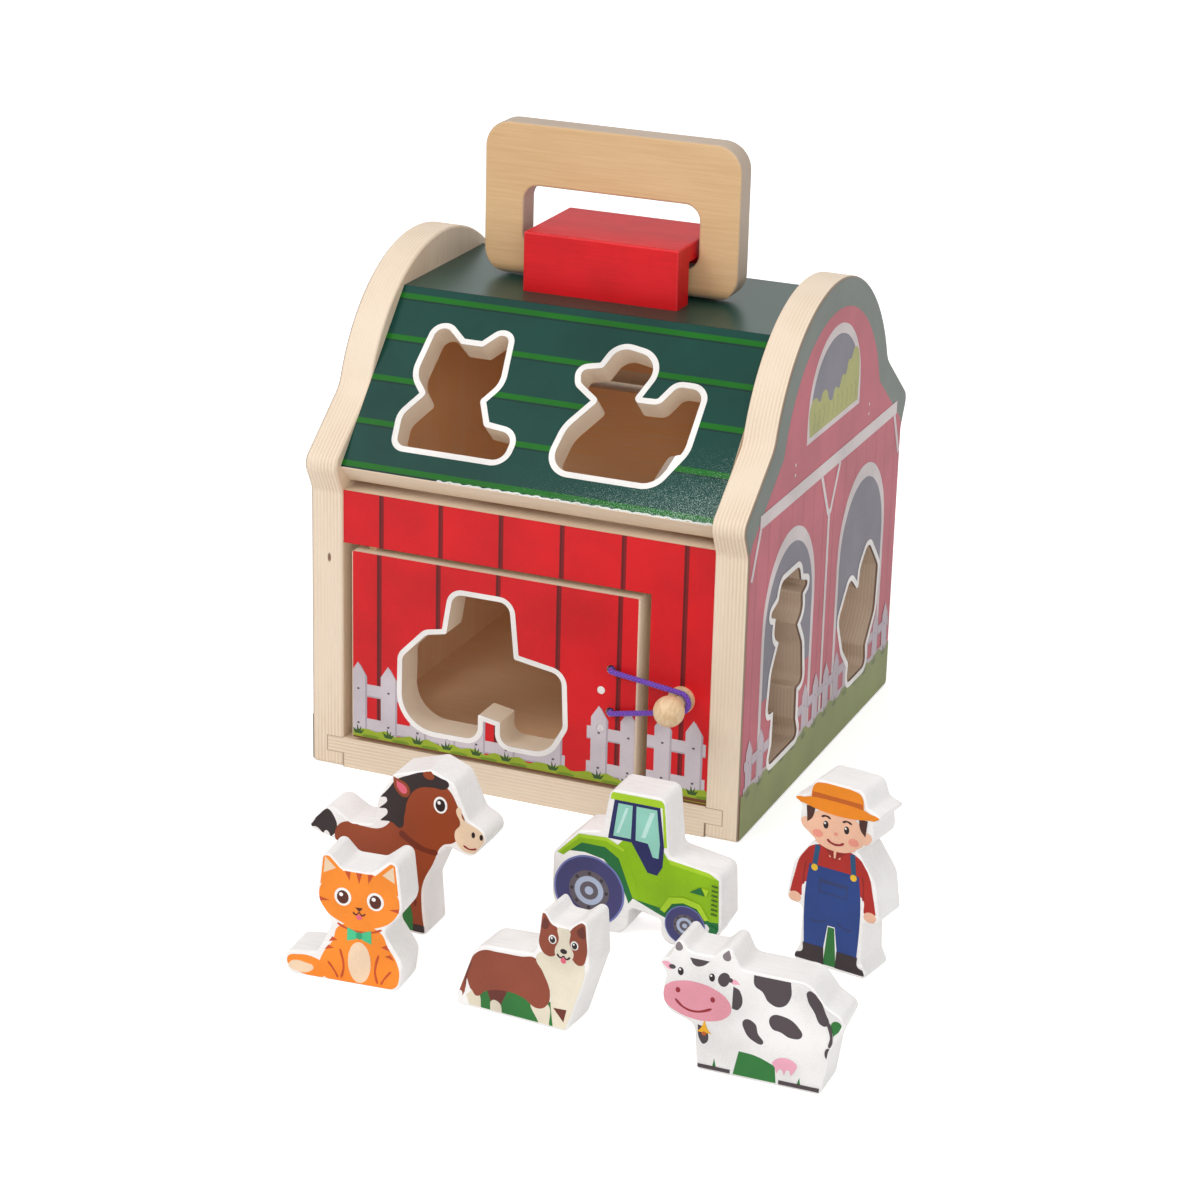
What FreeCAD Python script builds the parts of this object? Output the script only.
import FreeCAD, Part
import math
import os

os.makedirs("parts", exist_ok=True)
Vector = FreeCAD.Vector

# A wooden toy barn: two plywood gables hold a floor, a front frame, a back wall and a three-board
# roof. A door swings on two pins, a carry handle swings in a block on the roof, and flat farm
# figures fit through cut-outs of their own outline. Millimetres, +Z up, front towards -Y.
# The origin is the centre of the barn's base.

# Barn body
overall_width = 200.0
overall_depth = 200.0
gable_thickness = 15.0
wall_thickness = 15.0
wall_recess = 1.0
floor_thickness = 14.0
tongue_length = 8.0
tongue_height = 7.5
edge_round = 1.2

# Gable outline: round crown, waisted shoulders, an eave that stands proud of the wall
crown_radius = 78.0
crown_centre_height = 142.0
shoulder_angle = 37.5
shoulder_end = 46.8
eave_reach = 7.3
eave_height = 141.0
eave_round = 6.0
neck_height = 127.0
neck_round = 6.0
waist_round = 14.0
foot_round = 2.0

# Roof boards
roof_thickness = 12.0
roof_overhang = 1.7
roof_eave_height = 139.2
roof_top_height = 204.3
roof_top_width = 81.4
eave_gap = 2.8
back_wall_rise = 1.5

# Front frame, an L of header and post
header_height = 23.7
post_width = 27.6

# Door and its pins
door_proud = 2.0
door_gap_hinge = 4.6
door_gap_latch = 4.1
door_gap_top = 2.4
door_gap_bottom = 2.0
pin_inset = 7.5
pin_radius = 2.5
pin_depth = 9.0
pin_clearance = 0.1
pin_end_gap = 0.6
plug_radius = 1.7
plug_depth = 6.0
plug_edge_distance = 16.5
plug_heights = (41.5, 58.7)

# Latch: a turned knob on the post and an elastic loop tied through the door
knob_from_gable = 12.5
knob_height = 60.3
knob_ball_radius = 6.6
knob_ball_reach = 14.8
knob_stem_radius = 3.0
knob_stem_depth = 10.0
knob_flange_radius = 5.8
knob_flange_thickness = 2.0
elastic_radius = 1.15
elastic_hole_radius = 2.1
elastic_hole_heights = (49.5, 68.7)
elastic_hole_inset = 12.1
elastic_stand_off = 2.0
elastic_bend = 2.4
knot_radius = 3.2
running_clearance = 0.3

# Carry handle and the block that holds it down
handle_width = 119.0
handle_height = 68.5
handle_thickness = 12.0
handle_side = 18.6
handle_bar = 13.0
handle_grip = 27.3
handle_corner = 12.0
handle_opening_corner = 7.0
handle_shift = -3.5
bar_round = 5.75
block_length = 71.8
block_depth = 50.0
block_height = 26.2
block_leg = 12.5
block_bridge = 7.6
block_round = 1.0

# Joinery
dowel_radius = 3.0
dowel_in_gable = 9.0
dowel_in_board = 14.0
dowel_clearance = 0.1
dowel_end_gap = 0.4
wall_dowel_drop = 8.7
slope_dowel_inset = 18.0
screw_spread = 48.0
screw_radius = 1.75
screw_length = 28.0
screw_head_radius = 3.6
screw_head_height = 2.4
screw_clearance = 0.1

# Figures and cut-outs
figure_thickness = 18.0
figure_round = 0.9
sorting_clearance = 1.8
least_round = 0.8
right_cutout_rise = 24.0
left_cutout_rise = 42.0
window_inset = 4.0
roof_cutout_rise = 15.8
roof_cutout_margin = 17.4
cat_hole_centre = -39.2
duck_hole_centre = 34.7
door_cutout_rise = 11.0
door_cutout_margin = 13.6
tractor_hole_centre = -18.3
horse_hole_centre = 5.0
back_cutout_rise = 19.0
back_cutout_margin = 23.7
cut_past = 2.0
arc_room = 0.49
touching = 1e-4

# Outlines seen from the front, anticlockwise: across, up, corner radius
tractor_outline = [
    (0, 0, 16), (33, 0, 11.5), (33, 12.5, 2.5), (47, 10, 2.5), (47, 0, 8), (66, 0, 8.5),
    (72.5, 12, 3), (71.5, 33.5, 4), (49.5, 37, 3), (47, 61.5, 3.5), (24, 61.5, 3.5),
    (21, 43, 3), (11, 41, 3), (0.5, 30, 3),
]
cat_outline = [
    (-2.5, 0, 4), (43.5, 0, 2.5), (45, 12, 6), (37, 24, 4), (45, 33, 9), (42.5, 56, 3),
    (32, 47.5, 3.5), (20.5, 47.5, 3.5), (12.5, 56, 3), (10, 34, 9), (16.5, 24.5, 4), (10, 11, 4),
    (-3.5, 9.5, 3.5),
]
duck_outline = [
    (0, 0, 11), (44, 0, 7), (52.5, 16, 10), (53, 42, 3.5), (44, 42, 2.5), (38.5, 32.5, 6.5),
    (22.5, 32, 4), (31, 53.5, 7), (13.5, 56.5, 6.5), (9.5, 46, 4), (1, 44, 1), (2, 40.5, 1.5),
    (13.5, 33, 4), (2.5, 17, 14),
]
dog_outline = [
    (-0.5, 0, 2.5), (47.5, 0, 3), (56.5, 29, 4), (55, 49.5, 2.5), (47.5, 43, 3), (41, 43, 3),
    (36.5, 50, 2.5), (34, 29, 3.5), (9, 27, 8),
]
cow_outline = [
    (15.5, 0, 2), (63, 0, 2.5), (65.5, 18, 4), (71, 31.5, 3.5), (63.5, 35.5, 4), (57, 43.5, 8),
    (31, 43.5, 3.5), (26.5, 52.5, 2.5), (20.5, 46.5, 3), (11.5, 46.5, 3), (6.5, 52.5, 2.5),
    (4, 43, 3), (-0.5, 41, 2), (2.5, 36, 3), (0.5, 22.5, 8), (14, 18, 4),
]
horse_outline = [
    (14.5, 0, 2.5), (53, 0, 2.5), (51.5, 21, 4), (57, 34.5, 5), (61.5, 40.5, 3), (72, 37.5, 4),
    (80, 48, 5), (70.5, 53, 4), (64, 67.5, 5), (54, 71.5, 3), (38, 66.5, 3), (31.5, 55, 4),
    (30, 43.5, 4), (20, 42.5, 4), (10, 48.5, 5), (-0.5, 37, 2.5), (14, 33.5, 3),
]
hen_outline = [
    (16, 0, 2), (39, 0, 2), (37.5, 9, 4), (49, 23, 8), (50.5, 43, 2.5), (44, 50, 4), (36, 58, 4),
    (27, 50, 4), (25.5, 37, 3.5), (12, 48, 3), (-0.5, 34.5, 4), (7, 19, 6), (17, 9, 4),
]
farmer_half = [
    (17, 0, 2), (13.5, 7, 3), (13, 24, 2.5), (20.5, 24.5, 2.5), (18, 41, 8), (10.5, 51.5, 4),
    (8.5, 52.5, 3), (16.5, 58, 5), (15, 66.5, 3), (20.5, 68.5, 2), (13, 71, 3), (10.5, 78, 4),
]
farmer_outline = farmer_half + [(-across, up, radius) for across, up, radius in reversed(farmer_half)]

# Worked out from the sizes above
half_width = overall_width / 2
half_depth = overall_depth / 2
inner_half = half_width - gable_thickness
front_face = -half_depth + wall_recess
back_face = half_depth - wall_recess
roof_eave_y = -half_depth - roof_overhang
roof_ridge_y = -roof_top_width / 2
roof_slope = math.atan2(roof_top_height - roof_eave_height, roof_ridge_y - roof_eave_y)
slope_length = math.hypot(roof_top_height - roof_eave_height, roof_ridge_y - roof_eave_y)
up_slope = Vector(0, math.cos(roof_slope), math.sin(roof_slope))
wall_top = roof_eave_height - roof_thickness * math.cos(roof_slope) - eave_gap
window_offset = (half_depth - window_inset) / 2
post_left = inner_half - post_width
header_bottom = wall_top - header_height
door_front = front_face - door_proud
door_back = door_front + wall_thickness
door_left = -inner_half + door_gap_hinge
door_right = post_left - door_gap_latch
door_bottom = floor_thickness + door_gap_bottom
door_top = header_bottom - door_gap_top
pin_x = door_left + pin_inset
pin_y = (door_front + door_back) / 2
bar_reach = bar_round + math.sqrt(2) * (handle_thickness / 2 - bar_round)
handle_pivot = roof_top_height + bar_reach + running_clearance
handle_foot = handle_pivot - handle_thickness / 2


# An outline drawn at full size, made as tall as its board leaves room for
def fitted(outline, tallest, room):
    scale = room / max(up for across, up, radius in tallest)
    return [(across * scale, up * scale, radius * scale) for across, up, radius in outline]


roof_room = slope_length - roof_cutout_rise - roof_cutout_margin
door_room = door_top - door_bottom - door_cutout_rise - door_cutout_margin
back_room = wall_top - floor_thickness - back_cutout_rise - back_cutout_margin
duck_outline = fitted(duck_outline, cat_outline, roof_room)
cat_outline = fitted(cat_outline, cat_outline, roof_room)
tractor_outline = fitted(tractor_outline, tractor_outline, door_room)
horse_outline = fitted(horse_outline, horse_outline, back_room)

# Where each loose figure stands: front corner of its outline's origin, and its turn in degrees
figure_places = {
    "horse": (horse_outline, -33.0, -234.0, 0.0),
    "cat": (cat_outline, -12.5, -284.6, 4.6),
    "dog": (dog_outline, 53.5, -280.0, -4.2),
    "tractor": (tractor_outline, 58.0, -199.4, 0.0),
    "cow": (cow_outline, 139.2, -288.8, 0.7),
    "farmer": (farmer_outline, 172.5, -192.6, -10.0),
}


def seen_from(origin, right, up):
    return FreeCAD.Placement(origin, FreeCAD.Rotation(right, up, right.cross(up), "XYZ"))


def front_view(y):
    return seen_from(Vector(0, y, 0), Vector(1, 0, 0), Vector(0, 0, 1))


def back_view(y):
    return seen_from(Vector(0, y, 0), Vector(-1, 0, 0), Vector(0, 0, 1))


right_view = seen_from(Vector(half_width, 0, 0), Vector(0, 1, 0), Vector(0, 0, 1))
left_view = seen_from(Vector(-half_width, 0, 0), Vector(0, -1, 0), Vector(0, 0, 1))
front_slope_view = seen_from(Vector(0, roof_eave_y, roof_eave_height), Vector(1, 0, 0), up_slope)


def unit(a, b):
    step = b.sub(a)
    return step.multiply(1 / step.Length)


def turn_between(before, after):
    return math.atan2(before.x * after.y - before.y * after.x, before.dot(after))


# Straight edges and tangent arcs through corner points, each arc limited by its two edges
def rounded_wire(outline):
    corners = [Vector(across, up, 0) for across, up, radius in outline]
    starts, edges = [], []
    for i, (across, up, radius) in enumerate(outline):
        corner, before, after = corners[i], corners[i - 1], corners[(i + 1) % len(corners)]
        into, out = unit(before, corner), unit(corner, after)
        half_turn = abs(turn_between(into, out)) / 2
        room = arc_room * min(corner.distanceToPoint(before), corner.distanceToPoint(after))
        reach = min(radius * math.tan(half_turn), room)
        radius = reach / math.tan(half_turn)
        inward = out.sub(into)
        inward.multiply(radius * (1 / math.cos(half_turn) - 1) / inward.Length)
        first, last = corner - into * reach, corner + out * reach
        starts.append((first, last))
        edges.append(Part.Arc(first, corner + inward, last).toShape())
    for i in range(len(starts)):
        edges.append(Part.LineSegment(starts[i - 1][1], starts[i][0]).toShape())
    return Part.Wire(Part.__sortEdges__(edges))


# The same outline moved outwards by a clearance, so that a figure drops through its cut-out
def grown(outline, clearance):
    corners = [Vector(across, up, 0) for across, up, radius in outline]
    wider = []
    for i, (across, up, radius) in enumerate(outline):
        into = unit(corners[i - 1], corners[i])
        out = unit(corners[i], corners[(i + 1) % len(corners)])
        turn = turn_between(into, out)
        bisector = Vector(into.y + out.y, -into.x - out.x, 0).normalize()
        moved = corners[i] + bisector * (clearance / math.cos(turn / 2))
        new_radius = radius + clearance if turn > 0 else max(radius - clearance, least_round)
        wider.append((moved.x, moved.y, new_radius))
    return wider


def mirrored(outline):
    return [(-across, up, radius) for across, up, radius in reversed(outline)]


def shifted(outline, across_by, up_by):
    return [(across + across_by, up + up_by, radius) for across, up, radius in outline]


# Centres an outline on a line and lifts it, as it sits in a board's view
def set_in(outline, centre, rise):
    across = [point[0] for point in outline]
    return shifted(outline, centre - (min(across) + max(across)) / 2, rise)


def prism(outline, view, front, back):
    solid = Part.Face(rounded_wire(outline)).extrude(Vector(0, 0, front - back))
    solid.translate(Vector(0, 0, back))
    solid.Placement = view.multiply(solid.Placement)
    return solid


def plain_prism(corners, direction):
    return Part.Face(Part.makePolygon(corners + corners[:1])).extrude(direction)


def cutout(outline, centre, rise, view, thickness):
    hole = set_in(grown(outline, sorting_clearance), centre, rise - sorting_clearance)
    hole = shifted(hole, 0, -min(point[1] for point in hole) + rise - sorting_clearance)
    return prism(hole, view, cut_past, -thickness - cut_past)


def box(x, y, z):
    return Part.makeBox(x[1] - x[0], y[1] - y[0], z[1] - z[0], Vector(x[0], y[0], z[0]))


def eased(solid, radius, pick):
    return solid.makeFillet(radius, [edge for edge in solid.Edges if pick(edge)])


def lies_on(axis, *values):
    def pick(edge):
        spread = edge.BoundBox
        low, high = getattr(spread, axis + "Min"), getattr(spread, axis + "Max")
        return any(abs(low - value) < touching and abs(high - value) < touching for value in values)
    return pick


def save(name, *solids):
    shape = solids[0] if len(solids) == 1 else Part.makeCompound(solids)
    shape.exportStep("parts/" + name + ".step")


# Dowels along X through both gables into the boards between them
def dowel_rows():
    mid_roof = roof_thickness / 2
    slope_normal = Vector(0, -math.sin(roof_slope), math.cos(roof_slope))
    foot = Vector(0, roof_eave_y, roof_eave_height) - slope_normal * mid_roof
    walls, roof = [], []
    front_y, back_y = front_face + wall_thickness / 2, back_face - wall_thickness / 2
    high, low = wall_top - wall_dowel_drop, (floor_thickness + header_bottom) / 2
    for side in (-1, 1):
        walls.append((side, front_y, high))
        for height in (high, low):
            walls.append((side, back_y, height))
        for reach in (slope_dowel_inset, slope_length - slope_dowel_inset):
            point = foot + up_slope * reach
            roof.append((side, point.y, point.z))
            roof.append((side, -point.y, point.z))
        roof.append((side, 0, roof_top_height - mid_roof))
    walls.append((1, front_y, (knob_height + header_bottom) / 2))
    walls.append((1, front_y, (knob_height + floor_thickness) / 2))
    return walls, roof


def dowel(place, radius, extra):
    side, y, z = place
    start = side * (inner_half + dowel_in_gable + extra)
    length = dowel_in_gable + dowel_in_board + 2 * extra
    return Part.makeCylinder(radius, length, Vector(start, y, z), Vector(-side, 0, 0))


wall_dowels, roof_dowels = dowel_rows()
dowel_holes = [dowel(place, dowel_radius + dowel_clearance, dowel_end_gap)
               for place in wall_dowels + roof_dowels]


# Floor with a tongue on each side, housed in the gables
def floor_board():
    low, high = floor_thickness - tongue_height, floor_thickness
    board = box((-inner_half, inner_half), (-half_depth, half_depth), (0, floor_thickness))
    for side in (-1, 1):
        ends = sorted((side * inner_half, side * (inner_half + tongue_length)))
        board = board.fuse(box(ends, (-half_depth, half_depth), (low, high)))
    return board.removeSplitter()


floor = floor_board()


def gable(view, cutouts):
    shoulder = math.tan(math.radians(shoulder_angle))
    eave = half_depth + eave_reach
    shoulder_top = eave_height + (eave - shoulder_end) * shoulder
    half = [(half_depth, 0, foot_round), (half_depth, neck_height, neck_round),
            (eave, eave_height, eave_round), (shoulder_end, shoulder_top, least_round)]
    body = prism(half + mirrored(half), view, 0, -gable_thickness)
    crown_foot = Vector(0, crown_centre_height, -gable_thickness)
    crown = Part.makeCylinder(crown_radius, gable_thickness, crown_foot)
    crown.Placement = view.multiply(crown.Placement)
    board = body.fuse(crown).removeSplitter()

    # The two edges across the board where the shoulders meet the crown
    def waist(edge):
        spread = edge.BoundBox
        across = spread.YMax - spread.YMin + spread.ZMax - spread.ZMin
        inside = abs(edge.Vertexes[0].Point.y) < crown_radius
        return across < touching and inside and spread.ZMin > crown_centre_height

    board = eased(board, waist_round, waist)
    faces = (view.Base.x, view.Base.x * inner_half / half_width)
    board = eased(board, edge_round, lies_on("X", *faces))
    return board.cut([floor] + dowel_holes + cutouts)


left_gable = gable(left_view, [
    cutout(cow_outline, -window_offset, left_cutout_rise, left_view, gable_thickness),
    cutout(dog_outline, window_offset, left_cutout_rise, left_view, gable_thickness),
])
right_gable = gable(right_view, [
    cutout(farmer_outline, -window_offset, right_cutout_rise, right_view, gable_thickness),
    cutout(hen_outline, window_offset, right_cutout_rise, right_view, gable_thickness),
])


# Roof: two slopes mitred to a flat top board
def roof_boards():
    inset = roof_thickness * math.tan(roof_slope / 2)
    inward = Vector(0, math.sin(roof_slope), -math.cos(roof_slope)) * roof_thickness
    x = -inner_half
    eave = Vector(x, roof_eave_y, roof_eave_height)
    ridge = Vector(x, roof_ridge_y, roof_top_height)
    under_ridge = Vector(x, roof_ridge_y + inset, roof_top_height - roof_thickness)
    across = Vector(2 * inner_half, 0, 0)
    front = plain_prism([eave, ridge, under_ridge, eave + inward], across)
    back = front.mirror(Vector(0, 0, 0), Vector(0, 1, 0))
    flip = [Vector(x, -point.y, point.z) for point in (ridge, under_ridge)]
    top = plain_prism([ridge, flip[0], flip[1], under_ridge], across)
    return front.cut(dowel_holes), top.cut(dowel_holes), back.cut(dowel_holes)


roof_front, roof_top, roof_back = roof_boards()
roof_front = roof_front.cut([
    cutout(mirrored(cat_outline), cat_hole_centre, roof_cutout_rise, front_slope_view, roof_thickness),
    cutout(duck_outline, duck_hole_centre, roof_cutout_rise, front_slope_view, roof_thickness),
])


def pin(low, high, radius):
    return Part.makeCylinder(radius, high - low, Vector(pin_x, pin_y, low))


pin_spans = {
    "top": (door_top - pin_depth, header_bottom + pin_depth),
    "bottom": (floor_thickness - pin_depth, door_bottom + pin_depth),
}
pins = {end: pin(low, high, pin_radius) for end, (low, high) in pin_spans.items()}
pin_holes = [pin(low - pin_end_gap, high + pin_end_gap, pin_radius + pin_clearance)
             for low, high in pin_spans.values()]
floor = floor.cut(pin_holes)


# Turned knob: ball, stem and a flange that lies on the post
knob_x = inner_half - knob_from_gable


def turned(profile):
    face = Part.Face(Part.Wire(profile))
    return face.revolve(Vector(0, 0, 0), Vector(0, 0, 1), 360)


def knob():
    r, stem, flange = knob_ball_radius, knob_stem_radius, knob_flange_radius
    neck = knob_ball_reach - math.sqrt(r * r - stem * stem)
    points = [Vector(0, 0, -knob_stem_depth), Vector(stem, 0, -knob_stem_depth), Vector(stem, 0, 0),
              Vector(flange, 0, 0), Vector(flange, 0, knob_flange_thickness),
              Vector(stem, 0, knob_flange_thickness), Vector(stem, 0, neck)]
    edges = [Part.LineSegment(a, b).toShape() for a, b in zip(points, points[1:])]
    ball_top = Vector(0, 0, knob_ball_reach + r)
    edges.append(Part.Arc(points[-1], Vector(r, 0, knob_ball_reach), ball_top).toShape())
    edges.append(Part.LineSegment(ball_top, points[0]).toShape())
    solid = turned(edges)
    view = front_view(front_face)
    view.Base = Vector(knob_x, front_face, knob_height)
    solid.Placement = view
    return solid


def along_y(x, z, radius, start, end):
    return Part.makeCylinder(radius, end - start, Vector(x, start, z), Vector(0, 1, 0))


stem_hole = along_y(knob_x, knob_height, knob_stem_radius + dowel_clearance, front_face - cut_past,
                    front_face + knob_stem_depth + dowel_end_gap)
frame_outline = [Vector(x, front_face, z) for x, z in (
    (-inner_half, header_bottom), (post_left, header_bottom), (post_left, floor_thickness),
    (inner_half, floor_thickness), (inner_half, wall_top), (-inner_half, wall_top))]
front_frame = plain_prism(frame_outline, Vector(0, wall_thickness, 0))
front_frame = front_frame.cut(dowel_holes + pin_holes + [stem_hole])

back_wall = box((-inner_half, inner_half), (back_face - wall_thickness, back_face),
                (floor_thickness, wall_top + back_wall_rise))
back_wall = back_wall.cut(dowel_holes + [
    cutout(mirrored(horse_outline), horse_hole_centre, floor_thickness + back_cutout_rise,
           back_view(back_face), wall_thickness)])

# Door with the tractor's outline, holes for the elastic and two plugged holes
elastic_x = door_right - elastic_hole_inset
plug_x = door_right - plug_edge_distance
door = box((door_left, door_right), (door_front, door_back), (door_bottom, door_top))
door = eased(door, edge_round, lies_on("X", door_left, door_right))
past_front, past_back = door_front - cut_past, door_back + cut_past
plug_end = door_front + plug_depth
door = door.cut(pin_holes + [
    cutout(tractor_outline, tractor_hole_centre, door_bottom + door_cutout_rise, front_view(door_front),
           wall_thickness)])
door = door.cut([along_y(elastic_x, height, elastic_hole_radius, past_front, past_back)
                 for height in elastic_hole_heights])
door = door.cut([along_y(plug_x, height, plug_radius + dowel_clearance, past_front, plug_end)
                 for height in plug_heights])
plugs = [along_y(plug_x, height, plug_radius, door_front, plug_end) for height in plug_heights]


# Elastic loop: out of one hole, round the knob's stem, back into the other, knotted behind the door
def elastic():
    y = door_front - elastic_stand_off
    stem = Vector(knob_x, y, knob_height)
    wrap = knob_stem_radius + elastic_radius + running_clearance
    behind = door_back + knot_radius
    bend_inset = elastic_bend * (1 - math.sqrt(0.5))
    runs, knots = [], []
    for height, side in zip(elastic_hole_heights, (-1, 1)):
        hole = Vector(elastic_x, y, height)
        reach = stem - hole
        lean = math.atan2(reach.z, reach.x) + side * math.asin(wrap / reach.Length)
        along = Vector(math.cos(lean), 0, math.sin(lean))
        touch = hole + along * math.sqrt(reach.Length ** 2 - wrap ** 2)
        bend = hole + Vector(0, bend_inset, 0) + along * bend_inset
        inside = hole + Vector(0, elastic_bend, 0)
        tail = Vector(hole.x, behind, hole.z)
        runs.append((tail, inside, bend, hole + along * elastic_bend, touch))
        knots.append(Part.makeSphere(knot_radius, Vector(hole.x, behind + running_clearance, hole.z)))
    (tail, inside, bend, leave, touch), other = runs
    around = stem + Vector(wrap, 0, 0)
    edges = [Part.LineSegment(tail, inside), Part.Arc(inside, bend, leave), Part.LineSegment(leave, touch),
             Part.Arc(touch, around, other[4]), Part.LineSegment(other[4], other[3]),
             Part.Arc(other[3], other[2], other[1]), Part.LineSegment(other[1], other[0])]
    path = Part.Wire([edge.toShape() for edge in edges])
    section = Part.Wire(Part.makeCircle(elastic_radius, tail, Vector(0, 1, 0)))
    tube = path.makePipeShell([section], True, False)
    share = tube.Volume / (math.pi * elastic_radius ** 2 * path.Length)
    print("elastic length %.1f mm, volume share %.3f" % (path.Length, share))
    return tube.fuse(knots).removeSplitter()


# Handle: a closed plywood ring whose lower bar turns in the block's channel
def handle():
    half = handle_width / 2
    ring_corners = ((-1, 0), (1, 0), (1, handle_height), (-1, handle_height))
    ring = [(x * half, z, handle_corner) for x, z in ring_corners]
    gap = half - handle_side
    gap_top = handle_height - handle_grip
    gap_corners = ((-1, handle_bar), (1, handle_bar), (1, gap_top), (-1, gap_top))
    opening = [(x * gap, z, handle_opening_corner) for x, z in gap_corners]
    view = front_view(-handle_thickness / 2)
    view.Base = Vector(handle_shift, -handle_thickness / 2, handle_foot)
    solid = prism(ring, view, 0, -handle_thickness)
    solid = solid.cut(prism(opening, view, cut_past, -handle_thickness - cut_past))
    solid = eased(solid, edge_round, lies_on("Y", -handle_thickness / 2, handle_thickness / 2))
    thin = handle_thickness / 2
    past = handle_height + cut_past
    section = [(-thin, 0, bar_round), (thin, 0, bar_round),
               (thin, past, least_round), (-thin, past, least_round)]
    side = seen_from(Vector(handle_shift, 0, handle_foot), Vector(0, 1, 0), Vector(0, 0, 1))
    return solid.common(prism(section, side, half, -half))


def block():
    reach, depth = block_length / 2, block_depth / 2
    top = roof_top_height + block_height
    solid = box((-reach, reach), (-depth, depth), (roof_top_height, top))
    solid = eased(solid, block_round, lambda edge: edge.BoundBox.ZMax > roof_top_height + block_round)
    channel = depth - block_leg
    return solid.cut(box((-reach - cut_past, reach + cut_past), (-channel, channel),
                         (roof_top_height - cut_past, top - block_bridge)))


# Countersunk screws from under the roof into the block's legs
def screw(x, y, gap):
    low = roof_top_height - roof_thickness
    head = Part.makeCone(screw_head_radius + gap, screw_radius + gap, screw_head_height, Vector(x, y, low))
    shank = Part.makeCylinder(screw_radius + gap, screw_length + gap, Vector(x, y, low))
    return head.fuse(shank).removeSplitter()


screw_y = block_depth / 2 - block_leg / 2
screw_places = [(x * screw_spread / 2, y * screw_y) for x in (-1, 1) for y in (-1, 1)]
screws = [screw(x, y, 0) for x, y in screw_places]
screw_holes = [screw(x, y, screw_clearance) for x, y in screw_places]


def figure(outline, x, y, turn):
    angle = math.radians(turn)
    view = seen_from(Vector(x, y, 0), Vector(math.cos(angle), math.sin(angle), 0), Vector(0, 0, 1))
    flat = Part.Face(rounded_wire(outline)).extrude(Vector(0, 0, -figure_thickness))
    soft = eased(flat, figure_round, lies_on("Z", 0, -figure_thickness))
    soft.Placement = view
    return soft


save("left_gable", left_gable)
save("right_gable", right_gable)
save("floor_board", floor)
save("front_frame", front_frame)
save("back_wall", back_wall)
save("front_door", door)
save("door_pin_top", pins["top"])
save("door_pin_bottom", pins["bottom"])
save("door_plugs", *plugs)
save("latch_knob", knob())
save("latch_elastic", elastic())
save("roof_front", roof_front)
save("roof_top", roof_top.cut(screw_holes))
save("roof_back", roof_back)
save("carry_handle", handle())
save("handle_block", block().cut(screw_holes))
save("block_screws", *screws)
save("wall_dowels", *[dowel(place, dowel_radius, 0) for place in wall_dowels])
save("roof_dowels", *[dowel(place, dowel_radius, 0) for place in roof_dowels])
for name, place in figure_places.items():
    save("figure_" + name, figure(*place))
print("door pin at %.2f %.2f, handle pivot at %.2f" % (pin_x, pin_y, handle_pivot))
